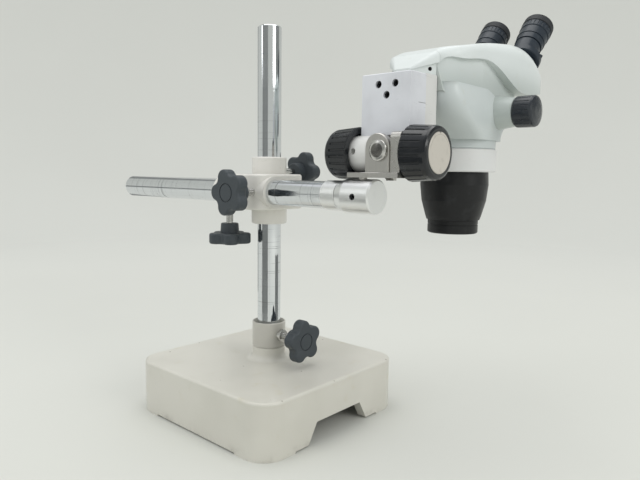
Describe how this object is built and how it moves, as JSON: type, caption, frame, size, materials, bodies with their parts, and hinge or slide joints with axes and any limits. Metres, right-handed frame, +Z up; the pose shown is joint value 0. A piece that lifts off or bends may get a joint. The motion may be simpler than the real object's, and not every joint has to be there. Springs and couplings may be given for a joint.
{
  "type": "stereo zoom microscope on boom stand",
  "caption": "Stereo zoom microscope head on a rack and pinion focus mount, carried by a chromed arm that slides through a cross block on a column over a square cast base.",
  "frame": {"origin": "point on the column axis at floor level, in the middle of the base", "axes": "+X along the arm towards the microscope, +Y away from the operator's front of the arm towards the eyepieces, +Z up"},
  "size_m": [0.5201, 0.3938, 0.4893],
  "materials": {
    "casting_paint": "gloss",
    "block_paint": "gloss",
    "chrome": "polished",
    "satin_aluminium": "satin",
    "silver_paint": "satin",
    "light_paint": "gloss",
    "steel": "brushed",
    "black_screw": "satin",
    "knob_plastic": "matte",
    "black_gloss": "gloss",
    "black_metal": "satin",
    "disc": "satin",
    "head_paint": "gloss",
    "cup_rubber": "matte",
    "glass": "polished",
    "brass": "satin",
    "black_cap": "matte"
  },
  "bodies": {
    "base": {"base_casting": "casting_paint", "base_collar": "casting_paint"},
    "base_knob": {"base_knob_grip": "knob_plastic", "base_knob_stud": "chrome"},
    "column": {"column_tube": "chrome", "column_cap": "black_cap"},
    "ring": {"stop_ring": "block_paint", "stop_ring_screw": "black_screw"},
    "block": {"cross_block": "block_paint"},
    "arm_knob": {"arm_knob_grip": "knob_plastic", "arm_knob_stud": "chrome"},
    "lower_knob": {"lower_knob_grip": "knob_plastic", "lower_knob_stud": "chrome"},
    "upper_knob": {"upper_knob_grip": "knob_plastic", "upper_knob_stud": "chrome"},
    "arm": {"arm_tube": "chrome", "arm_plug": "satin_aluminium", "arm_sleeve": "satin_aluminium"},
    "coupling": {"coupling_body": "satin_aluminium", "coupling_screws": "black_screw"},
    "mount": {"bracket": "silver_paint", "swivel_pin": "steel", "tension_bolt": "chrome", "pinion_barrel": "light_paint", "pinion_housing": "light_paint", "focus_block": "silver_paint", "block_screws": "black_screw"},
    "focus": {"pinion_shaft": "steel", "focus_knob_near": "black_gloss", "focus_knob_far": "black_gloss", "focus_disc_near": "disc", "focus_disc_far": "disc"},
    "head": {"slide_plate": "light_paint", "rack": "steel", "rear_adaptor": "head_paint", "adaptor_screws": "black_screw", "upper_cover": "head_paint", "lower_body": "head_paint", "objective_collar": "head_paint", "objective_cone": "black_metal", "objective_ring": "black_metal", "objective_lens": "glass", "zoom_barrels": "brass"},
    "zoom": {"zoom_shaft": "steel", "zoom_knob_near": "black_gloss", "zoom_knob_far": "black_gloss"},
    "turret_near": {"turret_near": "black_metal", "thumb_screw_near": "black_metal", "prism_near": "glass", "ocular_near": "black_metal", "eye_lens_near": "glass", "eyecup_near": "cup_rubber"},
    "turret_far": {"turret_far": "black_metal", "thumb_screw_far": "black_metal", "prism_far": "glass", "ocular_far": "black_metal", "eye_lens_far": "glass", "eyecup_far": "cup_rubber"},
    "diopter_near": {"diopter_ring_near": "black_gloss"},
    "diopter_far": {"diopter_ring_far": "black_gloss"}
  },
  "joints": [
    {"name": "base_knob_turn", "type": "hinge", "parent": "base", "child": "base_knob", "pos_m": [0.04, 0, 0.0936], "axis": [1, 0, 0], "range_deg": [-180, 180]},
    {"name": "column_turn", "type": "hinge", "parent": "base", "child": "column", "pos_m": [0, 0, 0.06], "axis": [0, 0, 1], "continuous": true},
    {"name": "ring_lift", "type": "slide", "parent": "column", "child": "ring", "axis": [0, 0, 1], "range_m": [-0.085, 0.145]},
    {"name": "block_turn", "type": "hinge", "parent": "ring", "child": "block", "pos_m": [0, 0, 0.268], "axis": [0, 0, 1], "continuous": true},
    {"name": "arm_knob_turn", "type": "hinge", "parent": "block", "child": "arm_knob", "pos_m": [0.028, -0.06, 0.268], "axis": [0, -1, 0], "range_deg": [-180, 180]},
    {"name": "lower_knob_turn", "type": "hinge", "parent": "block", "child": "lower_knob", "pos_m": [-0.033, -0.034, 0.24], "axis": [0, 0, -1], "range_deg": [-180, 180]},
    {"name": "upper_knob_turn", "type": "hinge", "parent": "block", "child": "upper_knob", "pos_m": [0, 0.03, 0.291], "axis": [0, 1, 0], "range_deg": [-180, 180]},
    {"name": "arm_slide", "type": "slide", "parent": "block", "child": "arm", "axis": [1, 0, 0], "range_m": [-0.07, 0.19]},
    {"name": "head_tilt", "type": "hinge", "parent": "arm", "child": "coupling", "pos_m": [0.15, -0.034, 0.268], "axis": [1, 0, 0], "range_deg": [-45, 45]},
    {"name": "mount_swivel", "type": "hinge", "parent": "coupling", "child": "mount", "pos_m": [0.168, -0.034, 0.28], "axis": [0, 0, 1], "range_deg": [-120, 0]},
    {"name": "focus_turn", "type": "hinge", "parent": "mount", "child": "focus", "pos_m": [0.183, -0.018, 0.3095], "axis": [1, 0, 0], "range_deg": [0, 216]},
    {"name": "focus_lift", "type": "slide", "parent": "mount", "child": "head", "axis": [0, 0, 1], "range_m": [0, 0.024]},
    {"name": "zoom_turn", "type": "hinge", "parent": "head", "child": "zoom", "pos_m": [0.183, 0.125, 0.357], "axis": [1, 0, 0], "range_deg": [-100, 100]},
    {"name": "near_eye_swing", "type": "hinge", "parent": "head", "child": "turret_near", "pos_m": [0.215, 0.22407, 0.43457], "axis": [0, 0.7071, 0.7071], "range_deg": [0, 110]},
    {"name": "far_eye_swing", "type": "hinge", "parent": "head", "child": "turret_far", "pos_m": [0.151, 0.22407, 0.43457], "axis": [0, 0.7071, 0.7071], "range_deg": [-110, 0]},
    {"name": "near_diopter_turn", "type": "hinge", "parent": "turret_near", "child": "diopter_near", "pos_m": [0.211, 0.25589, 0.46639], "axis": [0, 0.7071, 0.7071], "range_deg": [-120, 120]},
    {"name": "far_diopter_turn", "type": "hinge", "parent": "turret_far", "child": "diopter_far", "pos_m": [0.155, 0.25589, 0.46639], "axis": [0, 0.7071, 0.7071], "range_deg": [-120, 120]}
  ],
  "couplings": [
    {"joint": "focus_turn", "follows": "focus_lift", "rad_per_m": 156.25},
    {"joint": "far_eye_swing", "follows": "near_eye_swing", "ratio": -1}
  ]
}
